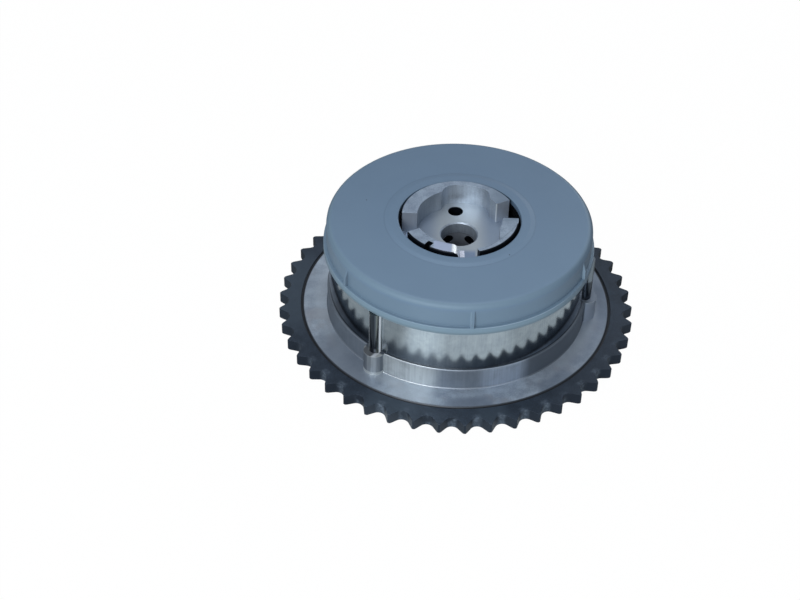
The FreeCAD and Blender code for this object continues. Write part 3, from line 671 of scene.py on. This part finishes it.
hubLook = {
    # painted light among these colours: the rim, bed, wall and slot tones, the rim patch beside the slot, the
    # roll and the glint stand for light and shade, and inside for shade
    "light": rgb(181, 191, 202), "dull": rgb(150, 160, 173), "rim": rgb(166, 180, 196),
    "rimDull": rgb(134, 147, 165), "rimRight": rgb(122, 136, 152), "bed": rgb(180, 187, 192),
    "bedDull": rgb(130, 149, 176), "wallDull": rgb(128, 138, 150), "slotFaceLit": rgb(208, 218, 234),
    "slotBed": rgb(118, 142, 178), "wearAndSheen": rgb(178, 189, 213), "roll": rgb(238, 241, 245),
    "glint": rgb(240, 246, 248), "darkLine": rgb(60, 64, 70), "bore": rgb(168, 174, 184),
    "inside": rgb(14, 20, 29), "metallic": 0.7, "cloud": (0.22, 4.0), "grit": (1.8, 3.0),
    "lines": (4.0, 3.0, 0.1), "streaks": (1.3, 0.12), "floor": 7.6, "edge": 19.0,
    "dullRimFrom": ((6.0, 14.0), (-6.0, 2.0)), "bedSides": (5.0, 11.0), "leftWall": (5.0, 9.0),
    "slotFaceFrom": (12.0, 13.0), "leftFaceTo": (-14.0, -12.0), "leftFaceShare": 0.45,
    "step": (-16.47, 15.47, 40.0), "stepFrom": (5.0, 6.0), "corner": (12.33, 6.84, 0.5),
    "roller": (-92.0, 2.3, 13.5), "sheenTo": 8.2, "slot": (-5.6, 0.2, 0.4), "slotFrom": (7.5, 10.0),
    "notch": (-124.2, 16.7, 1.05), "slotEnd": -71.6, "slotEndFrom": (16.5, 17.0),
    "portFrom": 6.4, "portTo": 12.0, "portDrop": 6.0, "ports": (126.4, 48.6), "portAt": (26.3, 2.3, 1.55),
    "portOut": (3.0, 3.5), "jointTo": (6.5, 6.7), "hole": (-0.994, 12.36, 5.2), "bumpDepth": 0.008}


def hubFaces(finish, patches, onRim, onBed):
    # rim, bed and walls of the cup in painted light and shade: the rim darker to the right and back, the bed
    # lighter than the rim with darker sides, the left wall darker, two slot faces painted lit, and a painted
    # shade line along a step
    look, wall = hubLook, finish.wall
    aside = finish.x.math("ABSOLUTE")
    streaks = finish.band(finish.stretched(*look["streaks"]), 0.35, 0.65)
    colour = finish.mix(patches * 0.65 + streaks * 0.35, look["dull"], look["light"])
    # painted shade on the rim to the right and back
    rightwards, backwards = look["dullRimFrom"]
    atRight = finish.band(finish.x, *rightwards) * finish.band(finish.y, *backwards)
    rim = finish.mix(patches, look["rimDull"], look["rim"])
    colour = finish.mix(onRim, colour, finish.mix(atRight * 0.8, rim, look["rimRight"]))
    # painted light on the bed, painted shade at its sides and on the left wall
    colour = finish.mix(onBed * 0.8, colour, look["bed"])
    colour = finish.mix(onBed * finish.band(aside, *look["bedSides"]) * 0.6, colour, look["bedDull"])
    colour = finish.mix(wall * finish.band(finish.x * -1, *look["leftWall"]) * 0.5, colour, look["wallDull"])
    # painted light on two slot faces
    face = wall * finish.band(finish.facing[1] * -1, 0.8, 0.95) * finish.band(aside, *look["slotFaceFrom"])
    face = face * finish.band(finish.x, *look["leftFaceTo"]).math("MAXIMUM", look["leftFaceShare"])
    colour = finish.mix(face, colour, look["slotFaceLit"])
    # painted shade along a step's wall
    x, y, reach = look["step"]
    step = finish.between(finish.distance(x, y), reach - 0.1, reach + 0.12, 0.06)
    return finish.mix(step * finish.band(finish.x, *look["stepFrom"]) * 0.6, colour, look["darkLine"])


def hubFront(finish, colour, onRim, onBed):
    # beside the tang's slot: a painted sheen on the rim, a painted highlight on the rolled edge, a cool bed,
    # and a painted glint on a wall's corner
    look = hubLook
    azimuth, width, reach = look["roller"]
    across, out = finish.across(azimuth), finish.along(azimuth)
    beyond = finish.band(out, reach, reach + 0.3)
    high = finish.band(finish.z, hubHigh[2] - width - 0.2, hubHigh[2] - width)
    # painted sheen on the rim beside the slot
    colour = finish.mix(finish.between(across, width, look["sheenTo"], 0.3) * beyond * onRim, colour,
                        look["wearAndSheen"])
    # painted highlight along the rolled edge's top
    colour = finish.mix(finish.between(across, 0, width, 0.1) * beyond * high, colour, look["roll"])
    inSlot = finish.between(across, *look["slot"]) * finish.band(out, *look["slotFrom"])
    colour = finish.mix(inSlot * onBed * 0.7, colour, look["slotBed"])
    return finish.mix(finish.speck(*look["corner"]) * finish.wall, colour, look["glint"])


def hubShadows(finish, colour, onRim):
    # painted shade: the index notch, the outer wall, the slot's end and the rotor beyond the hub are dark
    look = hubLook
    azimuth, reach, half = look["notch"]
    notch = 1 - finish.band(finish.across(azimuth).math("ABSOLUTE"), half, half + 0.08)
    notch = notch * finish.band(finish.along(azimuth), reach, reach + 0.1) * (1 - onRim)
    outer = finish.band(finish.radius, look["edge"], look["edge"] + 0.1) * finish.wall
    slotEnd = 1 - finish.band(finish.across(look["slotEnd"]).math("ABSOLUTE"), 0.1, 0.2)
    slotEnd = slotEnd * finish.wall * finish.band(finish.along(look["slotEnd"]), *look["slotEndFrom"])
    colour = finish.mix((notch + outer + slotEnd).math("MINIMUM", 1.0), colour, look["inside"])
    beyond = finish.band(finish.radius, hubHigh[0] + 0.05, hubHigh[0] + 0.15)
    return finish.mix(beyond, colour, look["inside"])


def hubBore(finish, colour):
    # the centre bore: two oval oil ports in the rotor and the rotor from portFrom to portTo out, painted dark
    # as shade, a dark joint line under the hub, and the dowel's hole painted dark as shade
    look, low, bed = hubLook, hubLow[2], hubHigh[2] - hubLook["floor"]
    inRotor = 1 - finish.past(finish.z, low, 0.1)
    deep = finish.band(finish.z, low - look["portDrop"], low - look["portDrop"] + 0.2)
    inPort = finish.between(finish.radius, look["portFrom"], look["portTo"], 0.1) * deep * inRotor
    bore = look["bore"]
    height, width, rise = look["portAt"]
    for azimuth in look["ports"]:
        off = (((finish.across(azimuth) / width) ** 2) + (((finish.z - height) / rise) ** 2)) ** 0.5
        port = (1 - finish.band(off, 0.9, 1.1)) * finish.band(finish.along(azimuth), *look["portOut"])
        bore = finish.mix(port, bore, look["inside"])
    colour = finish.mix(inPort, finish.mix(inRotor, colour, bore), look["inside"])
    darkLine = finish.between(finish.z, low - 0.05, low + 0.1, 0.06)
    colour = finish.mix(darkLine * (1 - finish.band(finish.radius, *look["jointTo"])), colour, look["darkLine"])
    under = 1 - finish.band(finish.z, bed - 0.4, bed - 0.1)
    return finish.mix(finish.speck(*look["hole"]) * under, colour, look["inside"])


def milledSteel():
    # clouded bright steel with fine turning lines
    look, bed = hubLook, hubHigh[2] - hubLook["floor"]
    finish = Finish("milled steel")
    cloud, grit = finish.noise(*look["cloud"]), finish.noise(*look["grit"])
    lines = finish.rings(*look["lines"])
    patches = finish.band(cloud * 0.6 + grit * 0.4, 0.35, 0.65)
    onRim = finish.flat * finish.band(finish.z, hubHigh[2] - 1.2, hubHigh[2] - 0.8)
    onBed = finish.flat * (1 - finish.band(finish.z, bed + 0.2, bed + 0.6))
    colour = hubFaces(finish, patches, onRim, onBed)
    colour = hubFront(finish, colour, onRim, onBed)
    colour = hubBore(finish, hubShadows(finish, colour, onRim))
    return finish.set(Base_Color=colour, Metallic=look["metallic"],
                      Roughness=0.3 + lines * 0.1 + grit * 0.14,
                      Normal=finish.bump(lines * 0.6 + grit * 0.4, look["bumpDepth"]))


# Springs, pins, screws and seals

# bright is a painted highlight on the tang, dark is painted shade on the turns
springLook = {"bright": rgb(224, 228, 242), "dark": rgb(20, 22, 25), "metallic": 0.4, "grain": (0.8, 3.0),
              "turnsFrom": (19.0, 20.2), "tangTo": (4.5, 5.5)}
smallLook = {"grain": (0.8, 3.0), "screws": rgb(64, 64, 68), "pins": rgb(200, 202, 206),
             "seal": (rgb(34, 30, 26), rgb(52, 46, 40)), "sealGrain": (1.2, 3.0)}


def springSteel():
    # painted highlight on the tang in the hub's slot, painted shade on the turns outside it
    look = springLook
    finish = Finish("spring steel")
    grain = finish.noise(*look["grain"])
    turns = finish.band(finish.radius, *look["turnsFrom"]) + finish.band(finish.x, *look["tangTo"])
    colour = finish.mix(turns.math("MINIMUM", 1.0), look["bright"], look["dark"])
    return finish.set(Base_Color=colour, Metallic=look["metallic"], Roughness=0.22 + grain * 0.12)


def plainSteel(name, colour, roughness):
    # one colour, shaded down to 0.8 of it by a fine grain
    finish = Finish(name)
    grain = finish.noise(*smallLook["grain"])
    shade = finish.mix(grain, tuple(0.8 * c for c in colour[:3]) + (1.0,), colour)
    return finish.set(Base_Color=shade, Metallic=1.0, Roughness=roughness - 0.06 + grain * 0.12)


def darkPlastic():
    # brown-black seal strip with a fine grain
    finish = Finish("seal plastic")
    grain = finish.noise(*smallLook["sealGrain"])
    return finish.set(Base_Color=finish.mix(grain, *smallLook["seal"]), Roughness=0.42 + grain * 0.15)


finishes = {
    "cap_steel": capSteel(),
    "sintered_steel": sprocketSteel(),
    "polished_steel": polishedSteel(),
    "machined_steel": milledSteel(),
    "black_screws": plainSteel("blackened steel", smallLook["screws"], 0.4),
    "spring_steel": springSteel(),
    "hardened_pins": plainSteel("ground steel", smallLook["pins"], 0.22),
    "seal_plastic": darkPlastic(),
}
for name, node in nodes.items():
    node.data.materials.clear()
    node.data.materials.append(finishes[slotOf[name]])
print("finishes made:", len(finishes))


# Pieces: a new cap, and the sprocket, hub and springs with their edges broken

cap = gridPiece("cap", turnedSurface(capProfile(), capAzimuths(), capRibs))
dress(cap, "spring_cap", "drive")
print("cap made:", len(cap.data.polygons), "faces")

sprocket = softEdged("chain_sprocket", edgeBreak["sprocket"])
dress(sprocket, "chain_sprocket", "drive")
hub = softEdged("rotor_hub", edgeBreak["hub"])
dress(hub, "rotor_hub", "rotor")
spring = softEdged("bias_spring", edgeBreak["spring"], 2)
dress(spring, "bias_spring")
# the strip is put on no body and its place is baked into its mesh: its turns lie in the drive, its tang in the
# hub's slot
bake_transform(spring)
print("sprocket, hub and spring made")

# the lock pin's coil with its edges broken; the share of its length that the pin's stroke and a little room
# would leave is worked out, and not used
pinCoil = {"edge": 0.02, "segments": 2, "sharpOver": 60.0, "room": 0.02}
coil = softEdged("lock_pin_spring", pinCoil["edge"], pinCoil["segments"], pinCoil["sharpOver"])
dress(coil, "lock_pin_spring", "rotor")
joints = {j["name"]: j for j in frame["record"]["behaviour"]["joints"]}
stroke = joints["lock_pin"]["range_m"][1] / mm
coilLength = coilHigh[2] - coilLow[2]
1 - (stroke + pinCoil["room"]) / coilLength
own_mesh(coil)
print("lock pin spring made:", round(coilLength, 2), "mm long")


# Floor, light and camera: lengths in metres, except mirroredFrom in millimetres. A floor field is an azimuth,
# the two cosines off it and its share, and a lamp is its place, its width and height, and its watts

floorLook = {"colour": rgb(238, 240, 243), "roughness": 0.9, "half": 3.0, "drop": -0.0002, "seenShare": 0.985,
             "tint": (0.81, 0.91, 0.96, 1.0), "mirrored": 0.26, "mirroredFrom": (45.0, 60.0),
             "fields": ((-60.0, 0.4, 0.58, 0.28), (-90.0, 0.78, 0.92, 0.2), (-160.0, 0.7, 0.9, 0.2),
                        (-111.0, 0.965, 1.0, 0.34))}
worldLook = {"light": (0.80, 0.87, 0.96, 1.0), "strength": 0.42, "seen": (1, 1, 1, 1)}
lampLook = {"key": ((-0.42, -1.05, 0.75), (0.8, 0.5), 13.0), "top": ((-0.1, 0.3, 1.5), (0.9, 0.9), 6.0),
            "back": ((0.62, 1.05, 0.5), (0.65, 0.45), 2.2)}
lampColour = (0.93, 0.97, 1.0)
cameraLook = {"lens": 69.925, "sensor": 36.0, "down": 40.91, "roll": 1.29,
              "place": (-0.01908, -0.4044, 0.3537)}


def stagePlane(name, half, height):
    # a level square about the axis, marked as no part of the object
    mesh = bpy.data.meshes.new(name)
    corners = [(-half, -half, 0), (half, -half, 0), (half, half, 0), (-half, half, 0)]
    mesh.from_pydata(corners, [], [(0, 1, 2, 3)])
    plane = bpy.data.objects.new(name, mesh)
    plane.location = (0, 0, height)
    bpy.context.scene.collection.objects.link(plane)
    return plane


def whiteFloor():
    # white to the camera; mirrors see a glow, a painted reflection of the studio, with a field for each entry,
    # brightest in front and to the left, and none within mirroredFrom of the axis, a painted shadow of the
    # part
    look = floorLook
    floor = stagePlane("floor", look["half"], look["drop"])
    finish = Finish("floor")
    floor.data.materials.append(finish.set(Base_Color=look["colour"], Roughness=look["roughness"]))
    seen = finish.node("ShaderNodeLightPath", {}, {}, "Is Camera Ray")
    mirrored = finish.node("ShaderNodeLightPath", {}, {}, "Is Glossy Ray")
    glow = look["mirrored"]
    for azimuth, low, high, share in look["fields"]:
        glow = finish.placedAt(azimuth, low, high) * share + glow
    glow = glow * finish.band(finish.radius, *look["mirroredFrom"])
    white = finish.node("ShaderNodeEmission", {}, {"Color": (1, 1, 1, 1), "Strength": 1.0})
    shown = finish.node("ShaderNodeEmission", {}, {"Color": look["tint"], "Strength": glow})
    plain = Flow(finish, finish.shader.outputs[0])
    mixed = finish.node("ShaderNodeMixShader", {}, {0: seen * look["seenShare"], 1: plain, 2: white})
    mixed = finish.node("ShaderNodeMixShader", {}, {0: mirrored, 1: mixed, 2: shown})
    finish.feed(finish.nodes["Material Output"].inputs["Surface"], mixed)


def placed(name, data, right, up, back, spot):
    # an object whose own X, Y and Z point along right, up and back
    holder = bpy.data.objects.new(name, data)
    turned = np.column_stack([right, up, back, spot])
    holder.matrix_world = Matrix(np.vstack([turned, (0, 0, 0, 1)]).tolist())
    bpy.context.scene.collection.objects.link(holder)
    return holder


def softLamp(name, spot, size, power):
    # a soft rectangle of light that faces the origin
    lamp = bpy.data.lights.new(name, "AREA")
    lamp.shape = "RECTANGLE"
    lamp.size, lamp.size_y = size
    lamp.energy = power
    lamp.color = lampColour
    back = np.array(spot, float) / np.linalg.norm(spot)
    side = np.cross((0, 0, 1), back)
    side = side / np.linalg.norm(side)
    placed(name, lamp, side, np.cross(back, side), back, spot)


def paleWorld():
    # white to the camera, and a weaker cool light on the object
    world = bpy.data.worlds.new("studio")
    bpy.context.scene.world = world
    shading = Shading(world)
    back = shading.nodes["Background"]
    shading.feed(back.inputs["Color"], worldLook["light"])
    shading.feed(back.inputs["Strength"], worldLook["strength"])
    light = Flow(shading, back.outputs[0])
    seen = shading.node("ShaderNodeBackground", {}, {"Color": worldLook["seen"]})
    toCamera = shading.node("ShaderNodeLightPath", {}, {}, "Is Camera Ray")
    mixed = shading.node("ShaderNodeMixShader", {}, {0: toCamera, 1: light, 2: seen})
    shading.feed(shading.nodes["World Output"].inputs["Surface"], mixed)


def photoCamera():
    # looks along +Y and down, then turns about its own axis by the roll
    camera = bpy.data.cameras.new("camera")
    camera.lens = cameraLook["lens"]
    camera.sensor_width = cameraLook["sensor"]
    down, roll = math.radians(cameraLook["down"]), math.radians(cameraLook["roll"])
    upright, level = np.array([0, math.sin(down), math.cos(down)]), np.array([1.0, 0, 0])
    right = math.cos(roll) * level + math.sin(roll) * upright
    up = math.cos(roll) * upright - math.sin(roll) * level
    back = np.array([0, -math.cos(down), math.sin(down)])
    bpy.context.scene.camera = placed("camera", camera, right, up, back, cameraLook["place"])


for name, (spot, size, power) in lampLook.items():
    softLamp(name, spot, size, power)
whiteFloor()
paleWorld()
photoCamera()
bpy.context.scene.view_settings.view_transform = "Standard"
print("floor, light and camera set")
